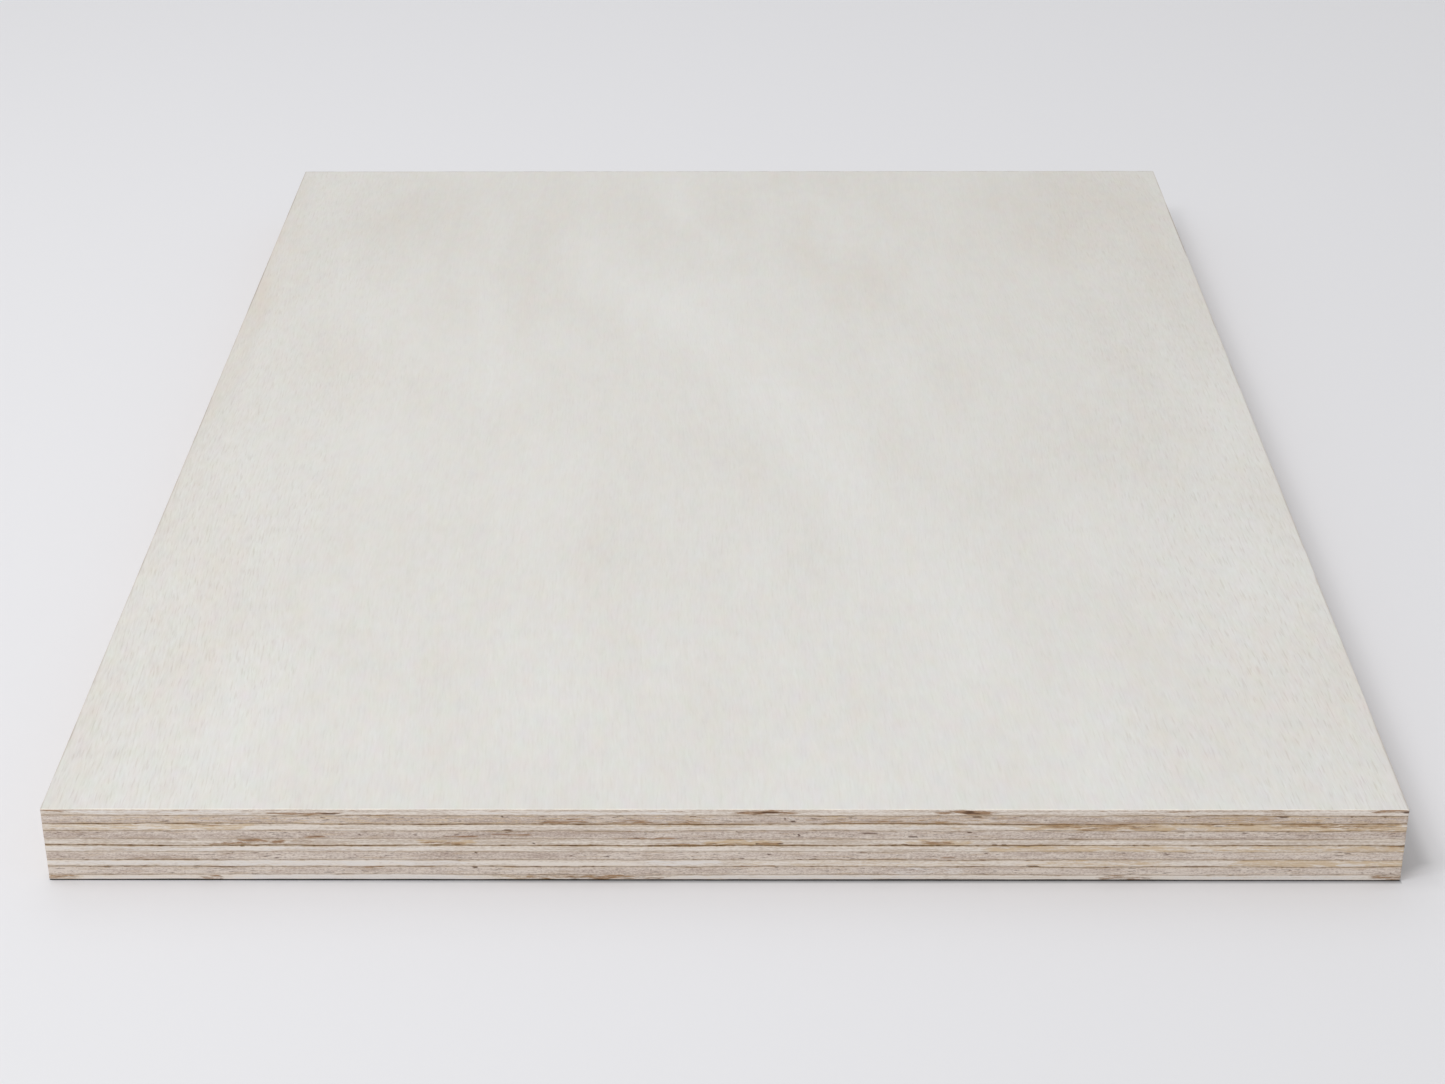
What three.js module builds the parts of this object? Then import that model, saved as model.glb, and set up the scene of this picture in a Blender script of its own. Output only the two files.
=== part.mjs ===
// Plywood sheet: ten peeled veneers, bonded face to face and sawn square.
//
// Millimetres, +Z up. Y runs along the grain of the face and X across it. The origin is the
// middle of the underside, at the height of the surface that the sheet lies on.

import * as THREE from 'three';
import { ConvexGeometry } from 'three/addons/geometries/ConvexGeometry.js';

// Driving dimensions.
const SHEET_WIDTH = 290; // along X
const SHEET_LENGTH = 400; // along Y
const OUTER_VENEER = 1.5; // thickness of the face and of the back, after sanding
const CROSSBAND = 2.1; // thickness of a veneer whose grain runs along X
const LONG_BAND = 1.7; // thickness of a veneer between two crossbands
const CENTRE_VENEER = 1.6; // thickness of each half of the doubled centre
const EASED_ARRIS = 0.3; // width of the bevel sanded round the face and round the back

const SANDED_FACE = { color: 0xdad7d0, roughness: 0.62 };
const LONG_GRAIN = { color: 0xcbbfb0, roughness: 0.72 };
const CROSS_GRAIN = { color: 0xb9ac9e, roughness: 0.8 };

// The lay-up from the underside up. It reads the same from both sides, so that the sheet
// stays flat, and the grain turns a quarter at every glue line but the middle one.
const LAY_UP = [
  { name: 'back_veneer', thickness: OUTER_VENEER, finish: SANDED_FACE, bevelBelow: EASED_ARRIS },
  { name: 'crossband_4', thickness: CROSSBAND, finish: CROSS_GRAIN },
  { name: 'long_band_2', thickness: LONG_BAND, finish: LONG_GRAIN },
  { name: 'crossband_3', thickness: CROSSBAND, finish: CROSS_GRAIN },
  { name: 'centre_veneer_2', thickness: CENTRE_VENEER, finish: LONG_GRAIN },
  { name: 'centre_veneer_1', thickness: CENTRE_VENEER, finish: LONG_GRAIN },
  { name: 'crossband_2', thickness: CROSSBAND, finish: CROSS_GRAIN },
  { name: 'long_band_1', thickness: LONG_BAND, finish: LONG_GRAIN },
  { name: 'crossband_1', thickness: CROSSBAND, finish: CROSS_GRAIN },
  { name: 'face_veneer', thickness: OUTER_VENEER, finish: SANDED_FACE, bevelAbove: EASED_ARRIS },
];

// The four corners of the sheet's plan at height z, drawn in by inset on every side.
function planCorners(z, inset) {
  const x = SHEET_WIDTH / 2 - inset;
  const y = SHEET_LENGTH / 2 - inset;
  return [
    new THREE.Vector3(-x, -y, z),
    new THREE.Vector3(x, -y, z),
    new THREE.Vector3(x, y, z),
    new THREE.Vector3(-x, y, z),
  ];
}

// A veneer from one level of the sheet to another, with a bevel round a side that has one.
function veneerGeometry(bottom, top, bevelBelow, bevelAbove) {
  const corners = [...planCorners(bottom, bevelBelow), ...planCorners(top, bevelAbove)];
  if (bevelBelow > 0) corners.push(...planCorners(bottom + bevelBelow, 0));
  if (bevelAbove > 0) corners.push(...planCorners(top - bevelAbove, 0));
  return new ConvexGeometry(corners);
}

function makeVeneer({ name, finish, bevelBelow = 0, bevelAbove = 0 }, bottom, top) {
  const veneer = new THREE.Mesh(
    veneerGeometry(bottom, top, bevelBelow, bevelAbove),
    new THREE.MeshStandardMaterial({ ...finish, metalness: 0 }),
  );
  veneer.name = name;
  return veneer;
}

// The veneers on both sides of a glue line are given the same level, so they meet face to
// face with neither a gap nor an overlap.
const group = new THREE.Group();
let glueLine = 0;
for (const veneer of LAY_UP) {
  const bottom = glueLine;
  glueLine += veneer.thickness;
  group.add(makeVeneer(veneer, bottom, glueLine));
}

export default group;
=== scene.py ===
"""The looks of a sheet of plywood: its sawn veneers, their grain and glue lines, and the stage.

Laid out as an add-on and run as a script. Lengths are metres in the scene, and millimetres
where a name or a comment says so. Veneers and glue lines are counted from the face down.
"""

from math import pi, radians

import bpy
import numpy as np
from bpy.props import FloatProperty, FloatVectorProperty, IntProperty, PointerProperty
from bpy.types import Operator, Panel, PropertyGroup
from mathutils import Matrix, Vector


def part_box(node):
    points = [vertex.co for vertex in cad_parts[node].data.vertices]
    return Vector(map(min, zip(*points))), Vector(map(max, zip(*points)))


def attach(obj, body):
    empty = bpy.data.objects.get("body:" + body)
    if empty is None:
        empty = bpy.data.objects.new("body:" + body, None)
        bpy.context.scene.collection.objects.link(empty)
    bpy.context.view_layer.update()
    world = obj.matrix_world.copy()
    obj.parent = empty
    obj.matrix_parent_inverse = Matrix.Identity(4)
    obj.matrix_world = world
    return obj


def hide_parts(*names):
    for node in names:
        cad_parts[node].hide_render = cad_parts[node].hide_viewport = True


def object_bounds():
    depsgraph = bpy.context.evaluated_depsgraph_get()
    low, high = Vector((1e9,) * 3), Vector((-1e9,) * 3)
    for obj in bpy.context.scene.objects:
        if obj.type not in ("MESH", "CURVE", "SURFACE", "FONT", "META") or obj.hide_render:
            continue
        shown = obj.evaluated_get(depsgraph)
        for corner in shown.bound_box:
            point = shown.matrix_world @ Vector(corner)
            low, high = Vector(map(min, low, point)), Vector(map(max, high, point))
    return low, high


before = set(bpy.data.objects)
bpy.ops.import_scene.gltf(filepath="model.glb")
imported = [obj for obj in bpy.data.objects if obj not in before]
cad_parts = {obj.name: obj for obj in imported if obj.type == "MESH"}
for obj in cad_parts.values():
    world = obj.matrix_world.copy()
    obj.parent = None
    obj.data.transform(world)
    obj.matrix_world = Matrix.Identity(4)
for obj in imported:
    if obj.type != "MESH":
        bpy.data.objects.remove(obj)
CAD_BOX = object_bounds()

bl_info = {
    "name": "Plywood sheet",
    "version": (1, 0, 0),
    "blender": (4, 5, 0),
    "location": "3D View > Sidebar > Plywood",
    "description": "Saws the veneers of a plywood sheet and gives them their grain and glue lines",
    "category": "Object",
}

MM = 0.001

# The lay-up, from the face down, and the veneers whose grain runs the short way of the sheet.
LAY_UP = sorted(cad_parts, key=lambda name: -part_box(name)[0].z)
CROSSBANDS = [name for name in LAY_UP if name.startswith("crossband")]
OUTER_VENEERS = [LAY_UP[0], LAY_UP[-1]]
LONG_PLIES = [name for name in LAY_UP if name not in CROSSBANDS + OUTER_VENEERS]
SLOTS = {
    **dict.fromkeys(OUTER_VENEERS, "sanded_face"),
    **dict.fromkeys(CROSSBANDS, "cross_grain_edge"),
    **dict.fromkeys(LONG_PLIES, "long_grain_edge"),
}
WIDTH = CAD_BOX[1].x - CAD_BOX[0].x
LENGTH = CAD_BOX[1].y - CAD_BOX[0].y

# How light the sawn edge of each veneer is beside the rest, and how dark each glue line is,
# both from the face down.
TONES = (0.16, 0.0, 0.24, 0.0, -0.06, 0.14, 0.12, 0.42, 0.2, 0.6)
GLUE_LINES = (0.4, 0.65, 0.45, 0.35, 1.0, 0.3, 0.55, 0.55, 0.35)


# ---------------------------------------------------------------- sizes and colours


def paint(code):
    """A colour written as rrggbb, as the linear numbers that nodes take."""
    parts = [int(code[i : i + 2], 16) / 255 for i in (0, 2, 4)]
    return tuple(c / 12.92 if c <= 0.04045 else ((c + 0.055) / 1.055) ** 2.4 for c in parts)


def length(name, description, default):
    return FloatProperty(
        name=name, description=description, default=default, min=0, unit="LENGTH", precision=5
    )


def colour(name, description, code):
    return FloatVectorProperty(
        name=name, description=description, default=paint(code),
        min=0, max=1, size=3, subtype="COLOR",
    )


class SheetShape(PropertyGroup):
    """Sizes of what the saw and the press leave on the edges."""

    column: length("Column", "Width of a column of faces round the edge", 0.5 * MM)
    rows: IntProperty(name="Rows", description="Rows of faces up an inner veneer", default=8, min=4)
    extra_rows: IntProperty(
        name="Extra rows", description="Further rows up the face and back veneers", default=4, min=0
    )
    wander: length("Wander", "How far a glue line strays from level", 0.2 * MM)
    groove: length("Groove", "Depth of the groove at a glue line", 0.1 * MM)
    uneven: length("Uneven", "How far one veneer's end stands behind another's", 0.08 * MM)
    end_fuzz: length("End fuzz", "Roughness of a veneer cut across its fibres", 0.03 * MM)
    side_fuzz: length("Side fuzz", "Roughness of a veneer cut along its fibres", 0.07 * MM)
    arris: length("Arris", "How far down the face's arrises are sanded", 0.12 * MM)
    arris_reach: length("Arris reach", "How far in the face's arrises are sanded", 0.15 * MM)
    back_arris: length("Back arris", "How far up the back's arrises are broken", 0.3 * MM)
    back_reach: length("Back reach", "How far in the back's arrises are broken", 0.1 * MM)
    corner: length("Corner", "Wear on the four upright corners", 0.05 * MM)


class WoodColours(PropertyGroup):
    """Colours of the sanded faces and of the sawn edges."""

    face: colour("Face", "Sanded face", "dad8d3")
    face_pale: colour("Pale figure", "Bleached streaks in the face", "e6e6e4")
    face_deep: colour("Deep figure", "Darker streaks in the face", "c8c3bb")
    face_warm: colour("Warm figure", "Pinkish patches in the face", "dccfc1")
    pore: colour("Pores", "Open pores in the face", "a89b8d")
    # Painted highlight along the front arris, on wood sanded clean.
    arris_highlight: colour("Arris highlight", "Arris sanded through to clean wood", "fbf4e8")
    # Partly dirt and partly painted shade on the arrises away from the front.
    arris_dirt_and_shade: colour("Arris dirt and shade", "Arris that has picked up dirt", "9c9289")
    end_light: colour("End grain, light", "Cut across the fibres, light layers", "f5ece2")
    end_dark: colour("End grain, dark", "Cut across the fibres, dark layers", "cfbfb0")
    side_light: colour("Side grain, light", "Cut along the fibres, light fibres", "ebdfd4")
    side_dark: colour("Side grain, dark", "Cut along the fibres, dark fibres", "bdaa9e")
    pit: colour("Pits", "Torn pits and open vessels in a sawn edge", "7e6250")
    dash: colour("Splits", "Dark splits and gum in a sawn edge", "593d2b")
    # Painted shadow: the dark band at the foot of the back veneer's edge stands in for the contact
    # shadow under the sheet.
    painted_foot_shadow: colour("Painted foot shadow", "Dirt on the arrises of the back", "35302c")
    glue: colour("Glue", "Hardened glue in the glue lines", "7e6038")
    soak: colour("Soaked wood", "Wood that glue has soaked into", "c4a475")
    stain: colour("Stain", "Knots and brown streaks", "a47f5d")
    gold: colour("Heartwood", "Golden heartwood", "d5b88e")
    pale: colour("Sapwood", "White sapwood", "f3eeea")


class StageSettings(PropertyGroup):
    """The floor, the light and the camera."""

    floor: colour("Floor", "Pale floor", "e5e5e8")
    ambient: FloatProperty(
        name="Ambient", description="Strength of the even light all round", default=0.619, min=0
    )
    lamps: FloatProperty(name="Lamps", description="Strength of the soft lamps", default=1, min=0)
    lens: FloatProperty(
        name="Lens", description="Focal length of the camera", default=67.859, min=1, unit="CAMERA"
    )


# ---------------------------------------------------------------- node maths


def find_socket(sockets, key):
    """The socket in use that has this place, name or identifier."""
    used = [s for s in sockets if s.enabled]
    if isinstance(key, int):
        return used[key]
    return next(s for s in used if key in (s.name, s.identifier))


def arithmetic(operation, reflected=False):
    """The method behind an operator, or behind its reflected form."""

    def method(self, other):
        terms = (other, self) if reflected else (self, other)
        return self.graph.maths(operation, *terms)

    return method


class Wire:
    """An output socket that arithmetic can be written with: each operator adds its node."""

    __add__, __radd__ = arithmetic("ADD"), arithmetic("ADD", reflected=True)
    __sub__, __rsub__ = arithmetic("SUBTRACT"), arithmetic("SUBTRACT", reflected=True)
    __mul__, __rmul__ = arithmetic("MULTIPLY"), arithmetic("MULTIPLY", reflected=True)
    __truediv__ = arithmetic("DIVIDE")
    __mod__ = arithmetic("MODULO")
    __lt__ = arithmetic("LESS_THAN")
    __gt__ = arithmetic("GREATER_THAN")

    def __init__(self, graph, socket):
        self.graph = graph
        self.socket = socket

    def out(self, key):
        """Another output of the same node."""
        return Wire(self.graph, find_socket(self.socket.node.outputs, key))

    def __abs__(self):
        return self.graph.maths("ABSOLUTE", self)


class Graph:
    """Adds nodes to a tree, of a material or of geometry."""

    def __init__(self, tree):
        self.tree = tree

    def feed(self, socket, value):
        """Links a wire to a socket, or sets the socket's own value."""
        if isinstance(value, Wire):
            self.tree.links.new(value.socket, socket)
        elif socket.type == "RGBA" and len(value) == 3:
            socket.default_value = (*value, 1)
        else:
            socket.default_value = value

    def add(self, kind, settings=None, sockets=None):
        """Adds a node: first its settings, then the values or wires of its sockets."""
        node = self.tree.nodes.new(kind)
        for name, value in (settings or {}).items():
            setattr(node, name, value)
        for key, value in (sockets or {}).items():
            self.feed(find_socket(node.inputs, key), value)
        return Wire(self, find_socket(node.outputs, 0)) if node.outputs else node

    def maths(self, operation, *terms):
        return self.add("ShaderNodeMath", {"operation": operation}, dict(enumerate(terms)))

    def between(self, value, low, high):
        """The value, held between two others."""
        return self.maths("MINIMUM", self.maths("MAXIMUM", value, low), high)

    def step(self, value, low, high):
        """0 below low and 1 above high, with a smooth rise between."""
        return self.add(
            "ShaderNodeMapRange",
            {"interpolation_type": "SMOOTHSTEP"},
            {"Value": value, "From Min": low, "From Max": high},
        )

    def mix(self, share, first, second, kind="FLOAT", mode="MIX"):
        """From first at share 0 to second at share 1, for numbers."""
        settings = {"data_type": kind, "blend_type": mode}
        return self.add("ShaderNodeMix", settings, {"Factor": share, "A": first, "B": second})

    def blend(self, share, first, second, mode="MIX"):
        """From first at share 0 to second at share 1, for colours."""
        return self.mix(share, first, second, "RGBA", mode)

    def place(self, x, y, z=0.0):
        return self.add("ShaderNodeCombineXYZ", {}, {"X": x, "Y": y, "Z": z})

    def noise(self, place, detail=2.0, dimensions="3D"):
        """Soft noise from about 0.2 to 0.8, with lumps about one unit apart."""
        return self.add(
            "ShaderNodeTexNoise",
            {"noise_dimensions": dimensions},
            {"Vector": place, "Scale": 1.0, "Detail": detail},
        )

    def flat_noise(self, x, y, detail=2.0):
        return self.noise(self.place(x, y), detail, "2D")


# ---------------------------------------------------------------- the sawn veneer

# The inputs of the tree that makes a veneer. Above and Below are its face and back sides.
VENEER_INPUTS = {
    "NodeSocketFloat": (
        *("Width", "Length", "Bottom", "Top", "Grain Across", "Tone", "Seed"),
        *("Wander Above", "Wander Below", "Groove Above", "Groove Below"),
        *("Glue Above", "Glue Below", "Arris Above", "Arris Below", "Reach Above", "Reach Below"),
        *("Uneven", "End Fuzz", "Side Fuzz", "Corner"),
    ),
    "NodeSocketInt": ("Columns Across", "Columns Along", "Rows", "Line Above", "Line Below"),
    "NodeSocketMaterial": ("Face Finish", "Edge Finish"),
}
GROOVE_WIDTH = 0.16 * MM  # from a glue line to where the veneer's end is at its full reach
CAP_MARGIN = 3 * MM  # from the rim to the first ring, inside which a veneer is flat
CAP_RINGS = 7  # rings of a cap, each twice as far in as the last with half as many points
MERGE = 0.001 * MM  # points of a cap that are this close become one
CORNER_REACH = 0.6 * MM  # how far from an upright corner its wear is felt
ROUND, HOLLOW = 2.0, 0.5  # powers that shape a broken arris
END_SHARE = 0.4999  # of the length: a point further than this from the middle is on an end
FUZZ_LUMP = (1.4, 0.22)  # length and height in mm
SPLINTER = (3.36, 0.3)  # length and height in mm


def broken(g, height, depth, distance, power):
    """How far a broken arris draws the edge in, at a distance from the face."""
    return depth * g.maths("POWER", g.maths("MAXIMUM", 1 - distance / height, 0.0), power)


def store(g, geometry, name, value):
    """Keeps a value at each point, under a name that the finishes read."""
    sockets = {"Geometry": geometry, "Name": name, "Value": value}
    return g.add("GeometryNodeStoreNamedAttribute", {}, sockets)


def veneer_tree():
    """The geometry of one veneer: a closed block with a fine grid round its sawn edge.

    It starts as a cylinder. Its columns are laid out round the sheet from the front left
    corner, anticlockwise seen from above, and its rows between two wandering glue lines.
    Its caps are rings that keep every second column of the ring before.
    """
    tree = bpy.data.node_groups.new("Sawn veneer", "GeometryNodeTree")
    tree.interface.new_socket("Geometry", in_out="OUTPUT", socket_type="NodeSocketGeometry")
    for kind, names in VENEER_INPUTS.items():
        for name in names:
            tree.interface.new_socket(name, in_out="INPUT", socket_type=kind)
    g = Graph(tree)
    given = g.add("NodeGroupInput").out
    width, long_side = given("Width"), given("Length")
    across, along = given("Columns Across"), given("Columns Along")

    columns = 2 * (across + along)
    cylinder = g.add(
        "GeometryNodeMeshCylinder",
        {"fill_type": "NGON"},
        {
            "Vertices": columns,
            "Side Segments": given("Rows"),
            "Fill Segments": CAP_RINGS,
            "Radius": 1.0,
            "Depth": 1.0,
        },
    )
    start = g.add("ShaderNodeSeparateXYZ", {}, {"Vector": g.add("GeometryNodeInputPosition")})
    share = start.out("Z") + 0.5
    rise = (1 - g.maths("COSINE", share * pi)) * 0.5
    start_x, start_y = start.out("X"), start.out("Y")
    radius = g.maths("SQRT", start_x * start_x + start_y * start_y)
    ring = g.maths("ROUND", (1 - radius) * CAP_RINGS)
    on_edge = ring < 0.5
    stride = g.maths("POWER", 2.0, ring)

    column = g.add("GeometryNodeInputIndex") % columns
    column = column - column % stride
    right = g.between(column, 0, across) - g.between(column - across - along, 0, across)
    back = g.between(column - across, 0, along) - g.between(column - 2 * across - along, 0, along)
    x = (right / across - 0.5) * width
    y = (back / along - 0.5) * long_side
    x_mm, y_mm = x / MM, y / MM
    seed = given("Seed")

    def on_line(line, spread_mm, kind):
        """Noise along a glue line. It is the same for the veneers on both sides of it."""
        return g.noise(g.place(x_mm / spread_mm, y_mm / spread_mm, line * 7.3 + kind), detail=0.0)

    def level(side, flat):
        """The height of a glue line, which strays from flat in three waves."""
        line = given("Line " + side)
        long, middling = on_line(line, 26.0, 0.1), on_line(line, 7.0, 0.3) * 0.6
        stray = long + middling + on_line(line, 2.2, 0.4) * 0.4
        mean = 0.5 * (1 + 0.6 + 0.4)
        return given(flat) + (stray - mean) * 2 * given("Wander " + side)

    def groove(side):
        return given("Groove " + side) * (0.3 + 1.4 * on_line(given("Line " + side), 2.0, 0.2))

    def glue(side):
        line = given("Line " + side)
        slow, quick = on_line(line, 12.0, 0.6) - 0.5, on_line(line, 1.4, 0.8)
        return given("Glue " + side) * (0.95 + 1.8 * slow + 0.7 * g.step(quick, 0.56, 0.72))

    below, above = level("Below", "Bottom"), level("Above", "Top")
    thickness = above - below
    from_below, from_above = rise * thickness, (1 - rise) * thickness
    run_mm = x_mm + y_mm  # goes on round the corners of the sheet
    up_mm = (given("Bottom") + from_below) / MM

    def torn(lump, offset, detail):
        return g.noise(g.place(run_mm / lump[0], up_mm / lump[1], seed + offset), detail)

    on_end = abs(y) > long_side * END_SHARE
    end_grain = abs(on_end - given("Grain Across"))
    rough = torn(FUZZ_LUMP, 0, 1.0)
    splinter = g.step(torn(SPLINTER, 3, 0.0), 0.62, 0.74)
    fuzz = g.mix(end_grain, given("Side Fuzz") * (rough + splinter), given("End Fuzz") * rough)
    reach = given("Uneven") * g.noise(g.place(x_mm / 60, y_mm / 60, seed + 5), detail=0.0) + fuzz
    inset = g.mix(
        g.step(from_below, 0.0, GROOVE_WIDTH),
        groove("Below"),
        g.mix(g.step(from_above, 0.0, GROOVE_WIDTH), groove("Above"), reach),
    )
    worn = 0.7 + 0.6 * g.noise(g.place(x_mm / 5, y_mm / 5, seed + 7), detail=1.0)
    for side, gap, power in (("Above", from_above, ROUND), ("Below", from_below, HOLLOW)):
        height, depth = given("Arris " + side) * worn, given("Reach " + side) * worn
        inset = inset + broken(g, height, depth, gap, power)
    to_corner = width * 0.5 - abs(x) + long_side * 0.5 - abs(y)
    inset = inset + given("Corner") * (1 - g.step(to_corner, 0.0, CORNER_REACH))
    inset = g.mix(on_edge, stride * CAP_MARGIN * 0.5, inset)

    body = cylinder
    for name, value in {
        "rise": rise,
        "from_below": from_below / MM,
        "from_above": from_above / MM,
        "glue_below": glue("Below"),
        "glue_above": glue("Above"),
        "end_grain": end_grain,
        "tone": given("Tone"),
        "column": column,
    }.items():
        body = store(g, body, name, value)
    flat = g.mix(share > 0.5, given("Bottom"), given("Top"))
    spot = g.place(
        x * (1 - 2 * inset / width),
        y * (1 - 2 * inset / long_side),
        g.mix(on_edge, flat, below + from_below),
    )
    body = g.add("GeometryNodeSetPosition", {}, {"Geometry": body, "Position": spot})
    for part, smooth in (("Side", True), ("Top", False), ("Bottom", False)):
        sockets = {"Geometry": body, "Selection": cylinder.out(part), "Shade Smooth": smooth}
        body = g.add("GeometryNodeSetShadeSmooth", {"domain": "FACE"}, sockets)
    sockets = {"Geometry": body, "Selection": 1 - on_edge, "Distance": MERGE}
    body = g.add("GeometryNodeMergeByDistance", {}, sockets)
    body = g.add("GeometryNodeRealizeInstances", {}, {"Geometry": body})
    caps = g.maths("MAXIMUM", cylinder.out("Top"), cylinder.out("Bottom"))
    sanded = g.maths("MAXIMUM", caps, given("Arris Above") > from_above)
    for part, finish in ((True, "Edge Finish"), (sanded, "Face Finish")):
        sockets = {"Geometry": body, "Selection": part, "Material": given(finish)}
        body = g.add("GeometryNodeSetMaterial", {}, sockets)
    g.add("NodeGroupOutput", {}, {"Geometry": body})
    return tree


# ---------------------------------------------------------------- marks on the sawn edge

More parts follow.
